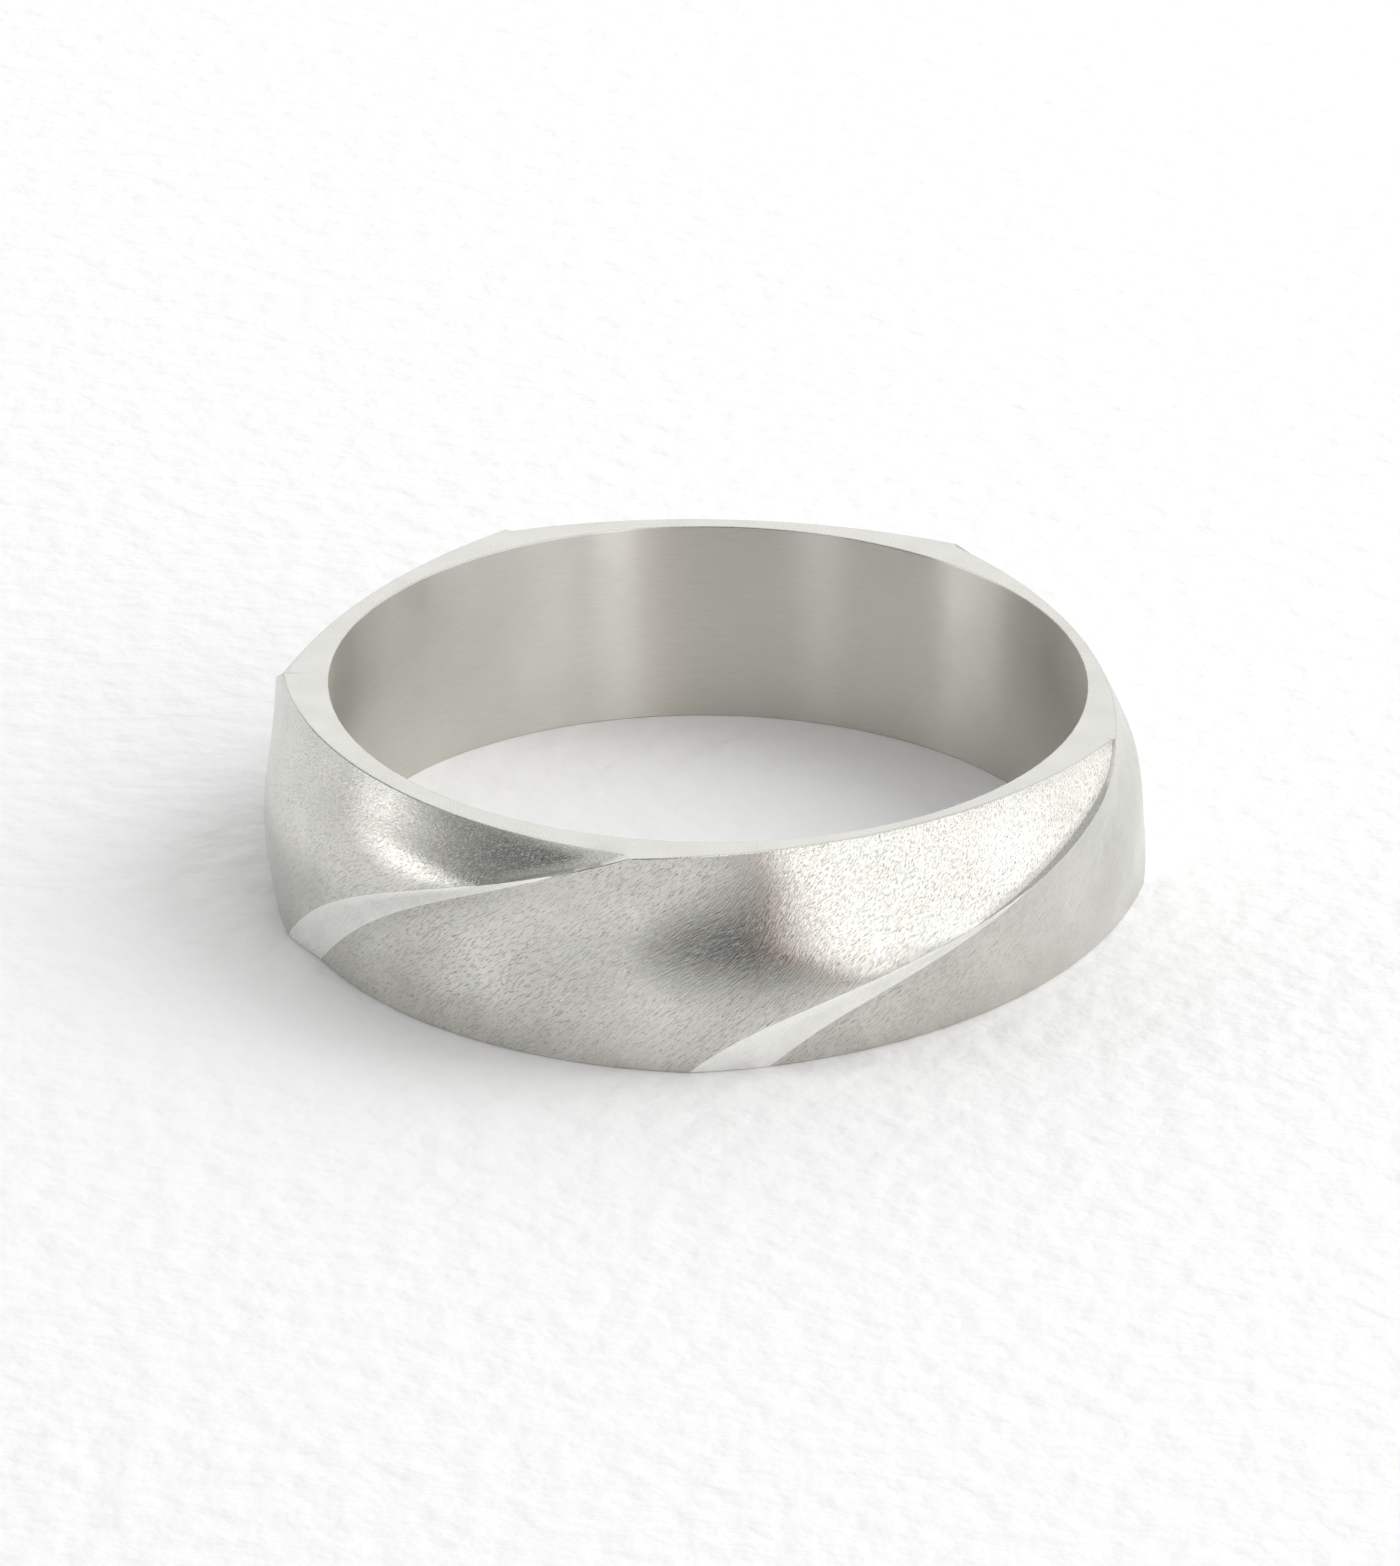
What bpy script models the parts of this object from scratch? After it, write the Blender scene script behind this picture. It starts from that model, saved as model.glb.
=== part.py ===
"""A carved wedding band: one ring of white metal with five diagonal facets around its outside.

Metres, +Z up. The ring's axis is Z and the origin is on it, half way up the band.
Angles run anticlockwise from +X as seen from above. A facet lies between two ridges. Each ridge leans
clockwise on its way down, and it changes sides: in its upper part the facet anticlockwise of it stands
proud, in its lower part the facet clockwise of it does, with a flat bevel down to the next facet.
"""

import math
from collections import namedtuple

import bmesh
import bpy

MM = 0.001

# Driving dimensions
BORE_DIAMETER = 18.5 * MM
BAND_HEIGHT = 5.3 * MM
RIDGE_WALL = 1.6 * MM  # bore to ridge, half way up the band
RIDGE_TOP_FALL = 0.50 * MM  # how far a ridge has rounded inwards where it meets the top face
RIDGE_BOTTOM_FALL = 0.08 * MM  # the same at the bottom face
UPPER_STEP = 0.18 * MM  # depth of the step beside a ridge that changes sides half way up the band
UPPER_STEP_RUN = 0.06 * MM  # its width around the band
LOWER_BEVEL_STEP = 0.25 * MM  # depth of the bevel beside a ridge at the bottom face
LOWER_BEVEL_RUN = 1.45 * MM  # its usual width around the band
SEAM_RUN = 0.10 * MM  # width left where the step has run out and the bevel starts

# How the ridges run
ROUNDING_POWER = 4  # how late the ridges' rounding starts towards the top and bottom faces
CHANGEOVER = 0.12  # share of the height over which the step and the bevel overlap, where a ridge changes sides
OPENING = 3  # how soon the bevel and the step reach their full size, away from the crossing
DEPTH_FADE = 3  # how quickly the depth beside a ridge fades out across the facet

# The five facets are carved by hand, so no two ridges or facets are quite alike.
# top, bottom: where the ridge meets the faces, in degrees. lag: how far it is behind an even lean half way
# up, and swing: how much more (below zero: less) it leans there than at its ends, both as shares of the
# whole lean.
# crossing: how high up the band it changes sides, as a share of the height. top_step: the step's depth at
# the top face. bevel_share: the bevel's width as a share of the usual one.
Ridge = namedtuple("Ridge", "top bottom lag swing crossing top_step bevel_share")
RIDGES = (
    Ridge(-19, -92, 0.05, 0.06, 0.57, 0.06 * MM, 1.3),
    Ridge(53, -2, 0.05, 0.04, 0.62, 0.12 * MM, 1.1),
    Ridge(120, 60, 0.05, 0.04, 0.62, 0.15 * MM, 1.0),
    Ridge(180, 125, 0.06, 0.03, 0.64, 0.08 * MM, 1.1),
    Ridge(260, 200, 0.17, -0.01, 0.84, 0.21 * MM, 1.0),
)

# The wall along a facet's middle, at the top face, half way up and at the bottom face. Each facet starts
# at the ridge in the same row above and runs anticlockwise to the next one.
Facet = namedtuple("Facet", "top middle bottom")
FACETS = (
    Facet(0.30 * MM, 1.35 * MM, 0.83 * MM),
    Facet(0.50 * MM, 1.35 * MM, 0.75 * MM),
    Facet(0.50 * MM, 1.38 * MM, 0.80 * MM),
    Facet(0.60 * MM, 1.60 * MM, 1.30 * MM),
    Facet(0.34 * MM, 1.32 * MM, 1.42 * MM),
)

# Mesh fineness
FACET_COLUMNS = 20
BEVEL_COLUMNS = 3
OUTER_ROWS = 28
BORE_ROWS = 4
CREASE_ANGLE = math.radians(12)

BORE_RADIUS = BORE_DIAMETER / 2
FULL_TURN = math.tau


def clear_scene():
    for found in list(bpy.data.objects):
        bpy.data.objects.remove(found, do_unlink=True)


def ridge_angle(ridge, height):
    """Angle of a ridge at a height from 0 (bottom face) to 1 (top face)."""
    share = height - ridge.lag * math.sin(math.pi * height) - ridge.swing * math.sin(math.tau * height)
    return math.radians(ridge.bottom + (ridge.top - ridge.bottom) * share)


def ridge_wall(height):
    """Wall at a ridge, which rounds inwards near both faces."""
    fall = RIDGE_TOP_FALL if height > 0.5 else RIDGE_BOTTOM_FALL
    return RIDGE_WALL - fall * abs(2 * height - 1) ** ROUNDING_POWER


def opened(distance):
    """Growth from 0 to 1 that is quick at first and then levels out."""
    return 1 - (1 - distance) ** OPENING


def upper_step(ridge, height):
    """Depth and run of the step on the clockwise side of a ridge, from its crossing to the top face."""
    start = ridge.crossing - CHANGEOVER / 2
    distance = max(0.0, (height - start) / (1 - start))
    middle_depth = UPPER_STEP * 2 * (1 - start)
    depth = middle_depth * math.sin(math.pi * distance) ** 2 + ridge.top_step * distance**2
    return depth, UPPER_STEP_RUN * opened(distance)


def lower_bevel(ridge, height):
    """Depth and run of the bevel on the anticlockwise side of a ridge, from its crossing to the bottom face."""
    start = ridge.crossing + CHANGEOVER / 2
    distance = max(0.0, (start - height) / start)
    return LOWER_BEVEL_STEP * opened(distance), LOWER_BEVEL_RUN * ridge.bevel_share * opened(distance)


def middle_wall(facet, height):
    """Wall along a facet's middle: a parabola through its three stated walls."""
    low = facet.bottom * (1 - height) * (1 - 2 * height)
    half_way = facet.middle * 4 * height * (1 - height)
    high = facet.top * height * (2 * height - 1)
    return low + half_way + high


def ridge_edges(ridge, height):
    """Angle and depth below the ridge, on the clockwise and the anticlockwise side of its step or bevel."""
    ridge_radius = BORE_RADIUS + RIDGE_WALL
    step_depth, step_run = upper_step(ridge, height)
    bevel_depth, bevel_run = lower_bevel(ridge, height)
    angle = ridge_angle(ridge, height)
    clockwise = (angle - (step_run + SEAM_RUN / 2) / ridge_radius, step_depth)
    anticlockwise = (angle + (bevel_run + SEAM_RUN / 2) / ridge_radius, bevel_depth)
    return clockwise, anticlockwise


def between(first, second, share):
    return first + (second - first) * share


def ridge_and_facet(index, height):
    """Angles and walls at one height, from a ridge's crest across its bevel to the far edge of its facet."""
    following = (index + 1) % len(RIDGES)
    crest_angle = ridge_angle(RIDGES[index], height)
    _, (start_angle, start_depth) = ridge_edges(RIDGES[index], height)
    (end_angle, end_depth), _ = ridge_edges(RIDGES[following], height)
    if following == 0:
        end_angle += FULL_TURN
    wall = ridge_wall(height)
    hollow = wall - middle_wall(FACETS[index], height)
    row = []
    for column in range(BEVEL_COLUMNS):
        across = column / BEVEL_COLUMNS
        row.append((between(crest_angle, start_angle, across), wall - start_depth * across))
    for column in range(FACET_COLUMNS + 1):
        across = column / FACET_COLUMNS
        depth = hollow * 4 * across * (1 - across)
        depth += start_depth * (1 - across) ** DEPTH_FADE + end_depth * across ** DEPTH_FADE
        row.append((between(start_angle, end_angle, across), wall - depth))
    return row


def outer_row(height):
    """Angles and walls all the way around the outside at one height."""
    return [place for index in range(len(FACETS)) for place in ridge_and_facet(index, height)]


def add_loop(mesh, angles, radii, z):
    return [mesh.verts.new((r * math.cos(a), r * math.sin(a), z)) for a, r in zip(angles, radii)]


def join_loops(mesh, lower, upper):
    """Faces between two loops of vertices, facing away from the axis when the loops run anticlockwise."""
    count = len(lower)
    for here in range(count):
        after = (here + 1) % count
        mesh.faces.new((lower[here], lower[after], upper[after], upper[here]))


def build_band():
    mesh = bmesh.new()
    outer = []
    for row in range(OUTER_ROWS + 1):
        height = row / OUTER_ROWS
        places = outer_row(height)
        radii = [BORE_RADIUS + wall for _, wall in places]
        outer.append(add_loop(mesh, [angle for angle, _ in places], radii, (height - 0.5) * BAND_HEIGHT))
    for lower, upper in zip(outer, outer[1:]):
        join_loops(mesh, lower, upper)

    # The ridges lean by about one facet, so the bore's columns run from each facet's top to the bottom of
    # the facet that starts one ridge further on, and stay nearly upright.
    top_angles = [angle for angle, _ in outer_row(1)]
    bottom_angles = [angle for angle, _ in outer_row(0)]
    one_facet = BEVEL_COLUMNS + FACET_COLUMNS + 1
    bottom_angles = bottom_angles[one_facet:] + [angle + FULL_TURN for angle in bottom_angles[:one_facet]]
    bore = []
    for row in range(BORE_ROWS + 1):
        height = row / BORE_ROWS
        angles = [low + (high - low) * height for low, high in zip(bottom_angles, top_angles)]
        bore.append(add_loop(mesh, angles, [BORE_RADIUS] * len(angles), (height - 0.5) * BAND_HEIGHT))
    for lower, upper in zip(bore, bore[1:]):
        join_loops(mesh, upper, lower)

    join_loops(mesh, outer[-1], bore[-1])
    join_loops(mesh, bore[0][-one_facet:] + bore[0][:-one_facet], outer[0])
    bmesh.ops.recalc_face_normals(mesh, faces=mesh.faces[:])
    bmesh.ops.triangulate(mesh, faces=mesh.faces[:], quad_method="SHORT_EDGE")

    data = bpy.data.meshes.new("band")
    mesh.to_mesh(data)
    mesh.free()
    data.shade_smooth()
    data.set_sharp_from_angle(angle=CREASE_ANGLE)
    band = bpy.data.objects.new("band", data)
    bpy.context.scene.collection.objects.link(band)
    return band


def white_metal():
    """Matt white gold, a little warm."""
    material = bpy.data.materials.new("satin_white_metal")
    material.use_nodes = True
    shader = material.node_tree.nodes["Principled BSDF"]
    shader.inputs["Base Color"].default_value = (0.78, 0.77, 0.74, 1)
    shader.inputs["Metallic"].default_value = 1.0
    shader.inputs["Roughness"].default_value = 0.36
    return material


clear_scene()
build_band().data.materials.append(white_metal())
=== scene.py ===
import math

import bpy
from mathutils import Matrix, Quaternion, Vector


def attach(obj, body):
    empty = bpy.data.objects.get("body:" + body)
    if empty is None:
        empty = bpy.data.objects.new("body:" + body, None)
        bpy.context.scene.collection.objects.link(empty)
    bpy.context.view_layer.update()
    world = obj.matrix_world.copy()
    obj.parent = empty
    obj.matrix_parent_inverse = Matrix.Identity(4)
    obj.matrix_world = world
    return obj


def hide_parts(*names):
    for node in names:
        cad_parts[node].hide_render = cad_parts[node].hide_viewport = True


MM = 0.001
BORE_RADIUS = 9.25 * MM
RIDGE_RADIUS = 10.85 * MM
BAND_HEIGHT = 5.3 * MM
FLOOR_Z = -BAND_HEIGHT / 2
FLOOR_SIZE = 3.0

# Each ridge: angle at the top, angle at the bottom, lag, swing, the height where the bevel starts, and the
# bevel's width as a share of the usual one.
RIDGES = (
    (-19, -92, 0.05, 0.06, 0.63, 1.3),
    (53, -2, 0.05, 0.04, 0.68, 1.1),
    (120, 60, 0.05, 0.04, 0.68, 1.0),
    (180, 125, 0.06, 0.03, 0.70, 1.1),
    (260, 200, 0.17, -0.01, 0.90, 1.0),
)
BEVEL_RUN = 1.45 * MM
SEAM_RUN = 0.10 * MM
STEP_RUN = 0.06 * MM
CHANGEOVER = 0.12  # share of the height over which a ridge's step and its bevel overlap
OPENING = 3  # how soon the bevel and the step reach their full width

BRUSH_TWIST = math.radians(29) / BAND_HEIGHT
ACROSS_BRUSHING = 0.375  # the way a reflection spreads, as a share of a turn from the way around the band
UP_THE_BORE = 0.25

RIM_ROUNDING = 0.03 * MM
CREST_REACH = 0.2 * MM  # the rims stay sharp this close to a crest
SAME_PLACE = 0.001 * MM
BORE_MARGIN = 0.02 * MM
FLAT_FACE = 0.95  # least upright part of the normal of a top or bottom face
SMOOTH_ANGLE = math.radians(12)

# The finishes of the band, in the order of its material slots
BRUSHED, BEVEL, EDGE_FACE, BORE, STEP_WALL = range(5)

CAMERA_PLACE = Vector((0, -177.46, 83.514)) * MM
CAMERA_AIM = Vector((-0.180, 0, -0.203)) * MM
CAMERA_ROLL = math.radians(0.368)
LENS = 183.9
SENSOR_WIDTH = 36
ROOM_LIGHT = 0.955

# Each light: azimuth and elevation in degrees, distance, width and height in metres, and watts.
LIGHTS = {
    "key": (-21, 18, 0.6, 0.58, 0.42, 0.60),
    "key_edge": (-61, 16, 0.6, 0.14, 0.42, 0.27),
    "right": (24, 20, 0.6, 0.34, 0.42, 0.30),
    "left": (-177, 11, 0.6, 0.22, 0.16, 0.22),
    "window": (12, 47, 0.8, 0.42, 0.42, 1.7),
    "behind": (90, 27, 0.8, 0.60, 0.30, 0.2),
}
LIGHTS_OFF_THE_METAL = ("window",)

# Each card: azimuth and elevation in degrees, distance, width and height in metres, colour, and how far its
# top leans to the left in degrees.
CARDS = {
    "card_right": (-101, 28, 0.45, 0.335, 0.60, (0.015, 0.015, 0.015, 1), 18),
    "card_left": (-148, 28, 0.45, 0.28, 0.60, (0.015, 0.015, 0.015, 1), 0),
    "card_side": (-182, 47, 0.45, 0.24, 0.20, (0.55, 0.55, 0.55, 1), 0),
    "card_far": (150, 34, 0.45, 0.20, 0.40, (0.04, 0.04, 0.04, 1), 0),
    "card_warm": (-77.5, 28, 0.46, 0.06, 0.60, (0.42, 0.24, 0.17, 1), 18),
}
CARDS_SEEN_IN_METAL_ONLY = ("card_side", "card_far")


class Worked:
    """A number worked out over a surface: a node's output, with arithmetic."""

    def __init__(self, finish, socket):
        self.finish = finish
        self.socket = socket

    def math(self, operation, first, second):
        node = self.finish.add("ShaderNodeMath", {"operation": operation}, {0: first, 1: second})
        return Worked(self.finish, node.outputs[0])

    def __add__(self, other):
        return self.math("ADD", self, other)

    __radd__ = __add__

    def __mul__(self, other):
        return self.math("MULTIPLY", self, other)

    __rmul__ = __mul__


class Finish:
    """A material and the nodes that make it."""

    def __init__(self, name):
        self.material = bpy.data.materials.new(name)
        self.material.use_nodes = True
        self.tree = self.material.node_tree
        self.tree.nodes.clear()

    def add(self, kind, settings=None, sockets=None):
        """Adds a node with its settings, then the values or links of its sockets."""
        node = self.tree.nodes.new(kind)
        for name, value in (settings or {}).items():
            if name == "stops":
                self.set_stops(node.color_ramp, value)
            else:
                setattr(node, name, value)
        for name, value in (sockets or {}).items():
            self.give(node.inputs[name], value)
        return node

    def give(self, target, value):
        """Links a socket to a worked number or another socket, or sets it to a plain value."""
        if isinstance(value, Worked):
            self.tree.links.new(value.socket, target)
        elif isinstance(value, bpy.types.NodeSocket):
            self.tree.links.new(value, target)
        else:
            target.default_value = value

    def set_stops(self, ramp, stops):
        while len(ramp.elements) < len(stops):
            ramp.elements.new(0.5)
        for element, (position, colour) in zip(ramp.elements, stops):
            element.position = position
            element.color = colour

    def place(self):
        return self.add("ShaderNodeTexCoord").outputs["Object"]

    def height(self):
        split = self.add("ShaderNodeSeparateXYZ", None, {0: self.place()})
        return Worked(self, split.outputs["Z"])

    def unwound(self, twist):
        """The place on the band, turned back about its axis so that a brushed line stands upright."""
        turn = self.height() * -twist
        settings = {"rotation_type": "Z_AXIS"}
        node = self.add("ShaderNodeVectorRotate", settings, {"Vector": self.place(), "Angle": turn})
        return node.outputs[0]

    def noise(self, place, size, stretch=1.0, detail=2.0, roughness=0.5, offset=0.0):
        """Noise from 0 to 1 with features of about size metres, drawn out along the axis by stretch."""
        scale = (1 / size, 1 / size, 1 / (size * stretch))
        settings = {"vector_type": "POINT"}
        sockets = {"Vector": place, "Scale": scale, "Location": (offset, offset * 1.7, offset * 0.6)}
        mapped = self.add("ShaderNodeMapping", settings, sockets).outputs[0]
        sockets = {"Vector": mapped, "Scale": 1.0, "Detail": detail, "Roughness": roughness}
        texture = self.add("ShaderNodeTexNoise", {"noise_dimensions": "3D"}, sockets)
        return Worked(self, texture.outputs[0])

    def ramp(self, value, stops):
        node = self.add("ShaderNodeValToRGB", {"stops": stops}, {0: value})
        return node.outputs["Color"]

    def shape(self, value, stops):
        """A number that follows value through grey stops, each a position and a level."""
        greys = [(position, (level, level, level, 1)) for position, level in stops]
        return Worked(self, self.ramp(value, greys))

    def bump(self, height, distance, strength=1.0):
        sockets = {"Strength": strength, "Distance": distance, "Height": height}
        return self.add("ShaderNodeBump", None, sockets).outputs[0]

    def finish_with(self, **sockets):
        """Adds the surface shader, with each socket named in small letters and underscores."""
        named = {name.replace("_", " ").title(): value for name, value in sockets.items()}
        shader = self.add("ShaderNodeBsdfPrincipled", None, named)
        output = self.add("ShaderNodeOutputMaterial")
        self.tree.links.new(shader.outputs[0], output.inputs["Surface"])
        return self.material


def deselect():
    bpy.ops.object.select_all(action="DESELECT")


def make_active(piece):
    deselect()
    piece.select_set(True)
    bpy.context.view_layer.objects.active = piece


def brushed_facets():
    """Satin brushing that leans across the facets, with single deeper strokes in it."""
    finish = Finish("brushed_facets")
    lines = finish.noise(finish.unwound(BRUSH_TWIST), 0.030 * MM, 14, 2.0, 0.6)
    crossing = finish.noise(finish.unwound(BRUSH_TWIST * 1.5), 0.035 * MM, 5, 2.0, 0.6, 3.0)
    grain = finish.noise(finish.place(), 0.04 * MM, 1, 2.0, 0.7)
    wear = finish.noise(finish.place(), 1.6 * MM, 1, 3.0, 0.5)
    strokes = finish.noise(finish.unwound(BRUSH_TWIST * 1.2), 0.032 * MM, 4, 1.0, 0.5, 7.0)
    deep = finish.shape(strokes, [(0.62, 1.0), (0.70, 0.0)])
    relief = lines * 0.7 + crossing * 0.25 + grain * 0.12 + deep * 1.2
    tone = lines * 0.50 + grain * 0.20 + wear * 0.30
    return finish.finish_with(
        base_color=finish.ramp(tone, [(0.38, (0.55, 0.545, 0.505, 1)), (0.62, (0.74, 0.735, 0.69, 1))]),
        metallic=1.0,
        roughness=lines * 0.10 + wear * 0.06 + 0.09,
        normal=finish.bump(relief, 0.009 * MM),
        anisotropic=1.0,
        anisotropic_rotation=ACROSS_BRUSHING,
    )


def bevels_painted_bright():
    """The bevels below the ridges, smoother than the facets, with a brighter base colour that paints in
    their bright reflection.
    """
    finish = Finish("bevels_painted_bright")
    lines = finish.noise(finish.unwound(BRUSH_TWIST), 0.04 * MM, 16, 2.0, 0.5)
    wear = finish.noise(finish.place(), 0.9 * MM, 1, 3.0, 0.5)
    tone = lines * 0.5 + wear * 0.5
    return finish.finish_with(
        # The bright base colour is painted light. It stands in for the bright reflection along the bevels,
        # and is the same metal as the darker facets.
        base_color=finish.ramp(tone, [(0.35, (0.88, 0.875, 0.845, 1)), (0.65, (0.98, 0.975, 0.95, 1))]),
        metallic=1.0,
        roughness=lines * 0.10 + wear * 0.06 + 0.20,
        normal=finish.bump(lines, 0.005 * MM),
    )


def steps_painted_dark():
    """The walls of the small steps beside the ridges, rougher than the facets, with a dark base colour that
    paints in the shade along each step.
    """
    finish = Finish("steps_painted_dark")
    grain = finish.noise(finish.place(), 0.04 * MM, 1, 2.0, 0.6)
    return finish.finish_with(
        # The dark base colour is painted shade. It draws the dark line of the step walls, and is the same
        # metal as the facets.
        base_color=finish.ramp(grain, [(0.35, (0.34, 0.335, 0.31, 1)), (0.65, (0.50, 0.495, 0.46, 1))]),
        metallic=1.0,
        roughness=grain * 0.15 + 0.25,
        normal=finish.bump(grain, 0.004 * MM),
    )


def satin_edges():
    """The flat top and bottom faces, satin like the facets but with no clear direction."""
    finish = Finish("satin_edges")
    grain = finish.noise(finish.place(), 0.05 * MM, 1, 2.0, 0.6)
    wear = finish.noise(finish.place(), 1.2 * MM, 1, 3.0, 0.5)
    tone = grain * 0.5 + wear * 0.5
    return finish.finish_with(
        base_color=finish.ramp(tone, [(0.35, (0.56, 0.555, 0.52, 1)), (0.65, (0.66, 0.655, 0.62, 1))]),
        metallic=1.0,
        roughness=grain * 0.1 + wear * 0.06 + 0.20,
        normal=finish.bump(grain, 0.004 * MM),
    )


def satin_bore():
    """The smooth inside, turned around the finger hole and dulled a little by wear."""
    finish = Finish("satin_bore")
    turned = finish.noise(finish.place(), 0.5 * MM, 0.07, 2.0, 0.5)
    wear = finish.noise(finish.place(), 2.4 * MM, 1, 3.0, 0.5)
    tone = turned * 0.4 + wear * 0.6
    return finish.finish_with(
        base_color=finish.ramp(tone, [(0.38, (0.70, 0.685, 0.635, 1)), (0.62, (0.77, 0.755, 0.705, 1))]),
        metallic=1.0,
        roughness=turned * 0.05 + wear * 0.08 + 0.27,
        normal=finish.bump(turned, 0.0003 * MM),
        anisotropic=1.0,
        anisotropic_rotation=UP_THE_BORE,
    )


def paper():
    """The thick white paper that the band stands on."""
    finish = Finish("white_paper")
    bumps = finish.noise(finish.place(), 0.9 * MM, 1, 3.0, 0.45)
    return finish.finish_with(
        base_color=(0.93, 0.93, 0.93, 1),
        roughness=0.85,
        normal=finish.bump(bumps, 0.22 * MM, 0.6),
    )


def height_share(point):
    """Height of a point as a share of the band's, from 0 (bottom face) to 1 (top face)."""
    return point.z / BAND_HEIGHT + 0.5


def ridge_angle(ridge, height):
    """Angle of a ridge at a height from 0 (bottom face) to 1 (top face)."""
    top, bottom, lag, swing = ridge[:4]
    share = height - lag * math.sin(math.pi * height) - swing * math.sin(math.tau * height)
    return math.radians(bottom + (top - bottom) * share)


def past_crest(ridge, point, height):
    """How far around the band a point is from a ridge's crest, anticlockwise."""
    past = (math.atan2(point.y, point.x) - ridge_angle(ridge, height)) % math.tau
    return (past - math.tau if past > math.pi else past) * RIDGE_RADIUS


def in_bore(point):
    return math.hypot(point.x, point.y) < BORE_RADIUS + BORE_MARGIN


def on_bevel(point):
    """True where a point of the outside lies on a ridge's smooth lower bevel."""
    height = height_share(point)
    for ridge in RIDGES:
        start, share = ridge[4:]
        if height < start:
            run = BEVEL_RUN * share * (1 - (height / start) ** OPENING)
            if -SEAM_RUN / 2 < past_crest(ridge, point, height) < run + SEAM_RUN / 2:
                return True
    return False


def on_step(point):
    """True where a point of the outside lies on the wall of a ridge's upper step."""
    height = height_share(point)
    for ridge in RIDGES:
        start = ridge[4] - CHANGEOVER
        if height > start:
            run = STEP_RUN * (1 - ((1 - height) / (1 - start)) ** OPENING)
            if -run - SEAM_RUN / 2 < past_crest(ridge, point, height) < 0:
                return True
    return False


def zone_of(face):
    """Which finish a face takes."""
    if abs(face.normal.z) > FLAT_FACE:
        return EDGE_FACE
    if in_bore(face.center):
        return BORE
    if on_step(face.center):
        return STEP_WALL
    return BEVEL if on_bevel(face.center) else BRUSHED


def at_crest(point):
    """True for a point of the outside that lies close to a ridge's crest."""
    if in_bore(point):
        return False
    height = height_share(point)
    return any(abs(past_crest(ridge, point, height)) < CREST_REACH for ridge in RIDGES)


def rim_edges(mesh):
    """The edges where a flat edge face meets the bore or the outside, apart from those at a crest."""
    flat = {}
    for face in mesh.polygons:
        for key in face.edge_keys:
            flat.setdefault(key, []).append(abs(face.normal.z) > FLAT_FACE)
    rims = []
    for edge in mesh.edges:
        start, end = (mesh.vertices[index].co for index in edge.vertices)
        if sorted(flat[edge.key]) == [False, True] and not at_crest((start + end) / 2):
            rims.append(edge.index)
    return rims


def soften_rims(band):
    """Rounds the four sharp rims a little, as they are after polishing."""
    rims = rim_edges(band.data)
    bpy.ops.object.mode_set(mode="EDIT")
    bpy.ops.mesh.select_mode(type="EDGE")
    bpy.ops.mesh.select_all(action="DESELECT")
    bpy.ops.object.mode_set(mode="OBJECT")
    for index in rims:
        band.data.edges[index].select = True
    bpy.ops.object.mode_set(mode="EDIT")
    bpy.ops.mesh.bevel(offset=RIM_ROUNDING, segments=2, profile=0.5, clamp_overlap=False)
    bpy.ops.object.mode_set(mode="OBJECT")


def assign_finishes(band):
    """Gives each face of the band the finish of its zone."""
    band.data.materials.clear()
    for made in (brushed_facets(), bevels_painted_bright(), satin_edges(), satin_bore(), steps_painted_dark()):
        band.data.materials.append(made)
    zones = [zone_of(face) for face in band.data.polygons]
    for slot in range(len(band.data.materials)):
        band.active_material_index = slot
        bpy.ops.object.mode_set(mode="EDIT")
        bpy.ops.mesh.select_mode(type="FACE")
        bpy.ops.mesh.select_all(action="DESELECT")
        bpy.ops.object.mode_set(mode="OBJECT")
        for face, zone in zip(band.data.polygons, zones):
            face.select = zone == slot
        bpy.ops.object.mode_set(mode="EDIT")
        bpy.ops.object.material_slot_assign()
        bpy.ops.object.mode_set(mode="OBJECT")


def make_band(node):
    """The finished band: a merged copy of the plain one, with its finishes and softened rims."""
    band = bpy.data.objects.new("band_finished", node.data.copy())
    bpy.context.scene.collection.objects.link(band)
    make_active(band)
    bpy.ops.object.mode_set(mode="EDIT")
    bpy.ops.mesh.select_all(action="SELECT")
    bpy.ops.mesh.remove_doubles(threshold=SAME_PLACE)
    bpy.ops.object.mode_set(mode="OBJECT")
    assign_finishes(band)
    soften_rims(band)
    bpy.ops.object.shade_smooth_by_angle(angle=SMOOTH_ANGLE)
    return band


def make_floor():
    deselect()
    bpy.ops.mesh.primitive_plane_add(size=FLOOR_SIZE, location=(0, 0, FLOOR_Z))
    floor = bpy.context.object
    floor.name = "floor"
    floor.data.materials.append(paper())


def direction(azimuth, elevation):
    a = math.radians(azimuth)
    e = math.radians(elevation)
    return Vector((math.cos(a) * math.cos(e), math.sin(a) * math.cos(e), math.sin(e)))


def add_light(name, azimuth, elevation, distance, width, height, watts):
    """Adds a soft light that faces the band and isn't itself in view."""
    away = direction(azimuth, elevation)
    deselect()
    bpy.ops.object.light_add(type="AREA", location=away * distance)
    light = bpy.context.object
    light.name = name
    light.rotation_euler = away.to_track_quat("Z", "Y").to_euler()
    light.data.shape = "RECTANGLE"
    light.data.size = width
    light.data.size_y = height
    light.data.energy = watts
    light.visible_camera = False
    light.visible_glossy = name not in LIGHTS_OFF_THE_METAL


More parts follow.
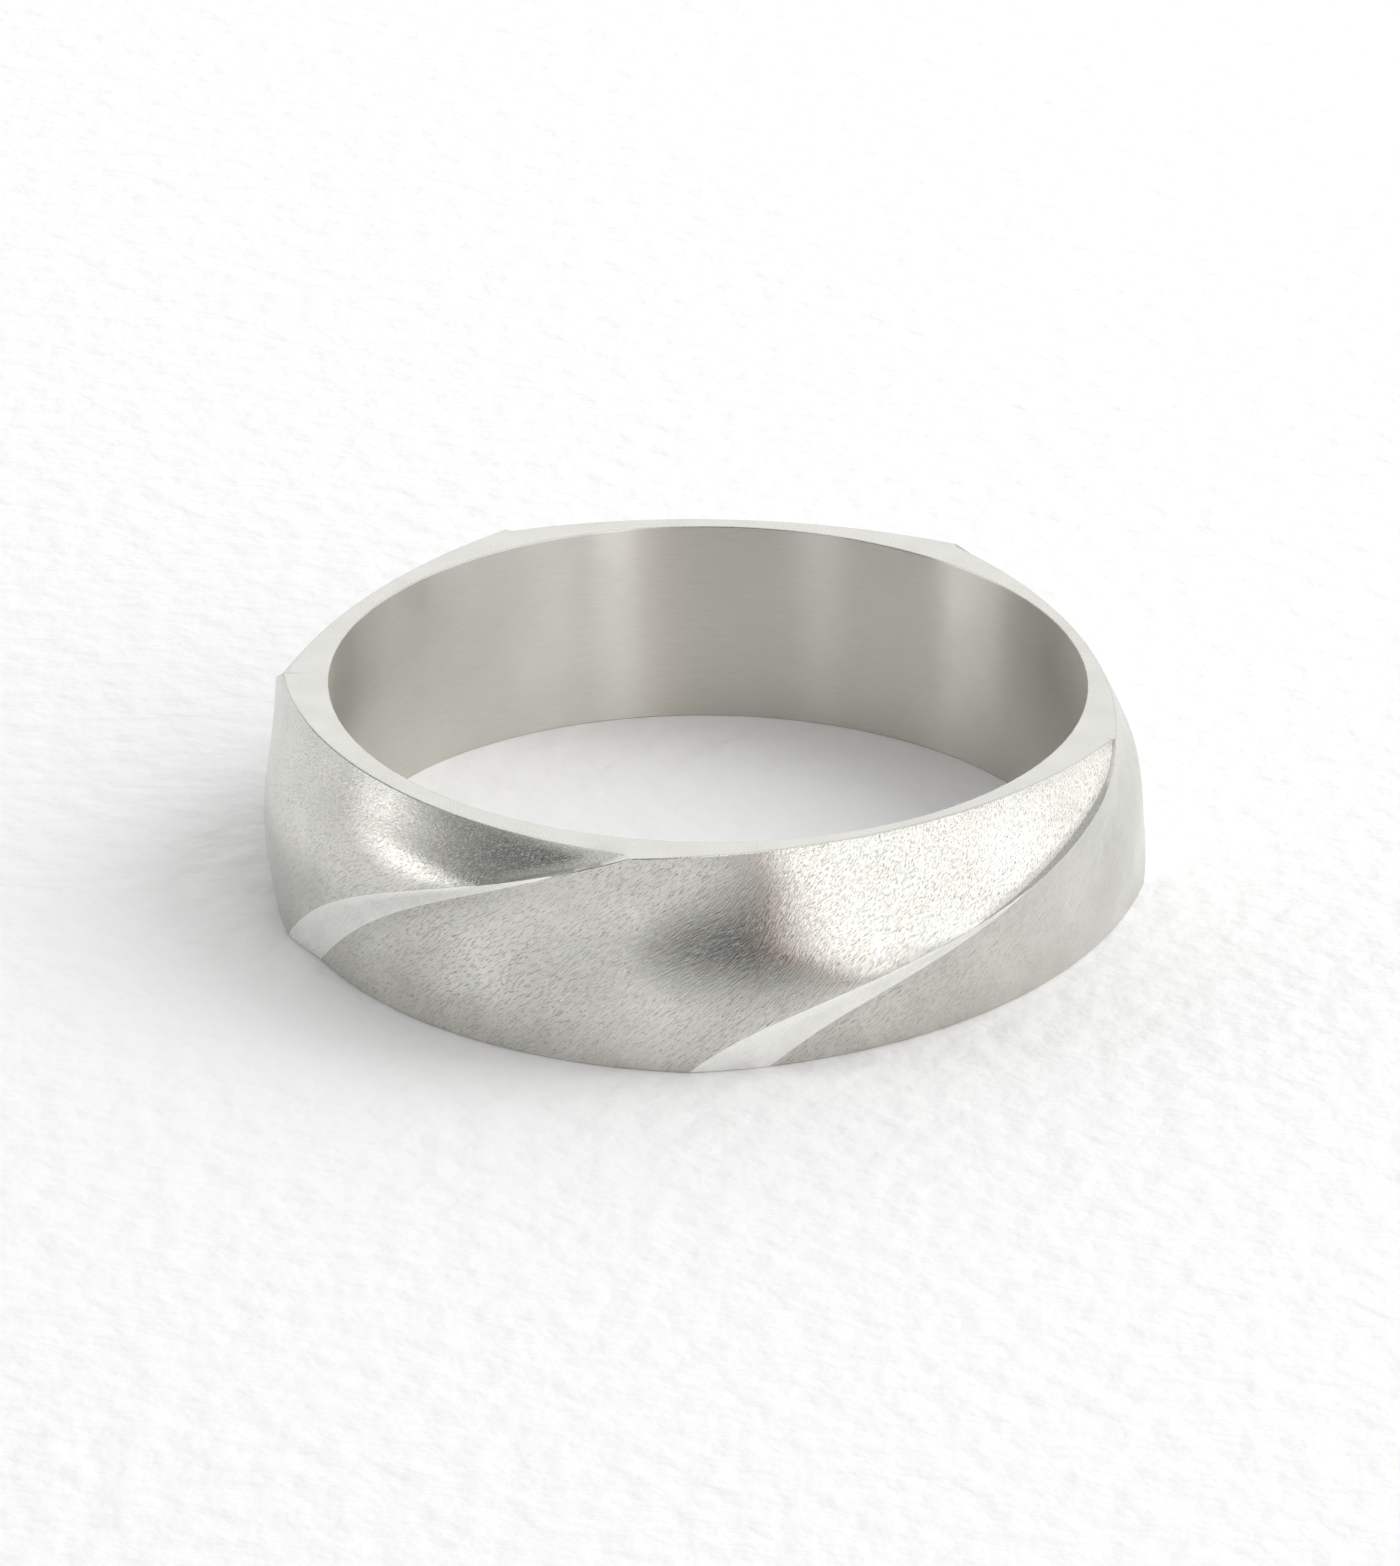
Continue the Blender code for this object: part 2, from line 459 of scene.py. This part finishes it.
def add_card(name, azimuth, elevation, distance, width, height, colour, lean):
    """Adds a card that faces the band, for the metal to reflect, and isn't itself in view."""
    away = direction(azimuth, elevation)
    deselect()
    bpy.ops.mesh.primitive_plane_add(size=1)
    card = bpy.context.object
    card.name = name
    card.location = away * distance
    card.scale = (width, height, 1)
    upright = away.to_track_quat("Z", "Y")
    card.rotation_euler = (upright @ Quaternion((0, 0, 1), math.radians(lean))).to_euler()
    card.data.materials.append(Finish(name).finish_with(base_color=colour, roughness=0.9))
    card.visible_camera = False
    if name in CARDS_SEEN_IN_METAL_ONLY:
        card.visible_diffuse = False
        card.visible_shadow = False


def add_camera():
    bpy.ops.object.camera_add(location=CAMERA_PLACE)
    camera = bpy.context.object
    camera.rotation_mode = "QUATERNION"
    roll = Quaternion((0, 0, 1), CAMERA_ROLL)
    camera.rotation_quaternion = (CAMERA_AIM - CAMERA_PLACE).to_track_quat("-Z", "Y") @ roll
    camera.data.lens = LENS
    camera.data.sensor_width = SENSOR_WIDTH
    camera.data.clip_start = 0.005
    camera.data.clip_end = 20
    bpy.context.scene.camera = camera


def set_world():
    """An even white room around the band."""
    world = bpy.data.worlds.new("studio")
    world.use_nodes = True
    background = world.node_tree.nodes["Background"]
    background.inputs["Color"].default_value = (1, 1, 1, 1)
    background.inputs["Strength"].default_value = ROOM_LIGHT
    bpy.context.scene.world = world


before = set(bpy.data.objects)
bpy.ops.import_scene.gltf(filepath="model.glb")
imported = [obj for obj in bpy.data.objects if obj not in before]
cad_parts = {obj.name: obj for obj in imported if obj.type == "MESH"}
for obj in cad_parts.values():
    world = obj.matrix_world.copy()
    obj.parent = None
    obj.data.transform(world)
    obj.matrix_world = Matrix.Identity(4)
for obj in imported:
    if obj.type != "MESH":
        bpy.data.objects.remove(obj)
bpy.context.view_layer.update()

band = make_band(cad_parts["band"])
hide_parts("band")
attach(band, "root")

make_floor()
set_world()
for name, measures in LIGHTS.items():
    add_light(name, *measures)
for name, measures in CARDS.items():
    add_card(name, *measures)
add_camera()
bpy.context.scene.view_settings.view_transform = "Standard"
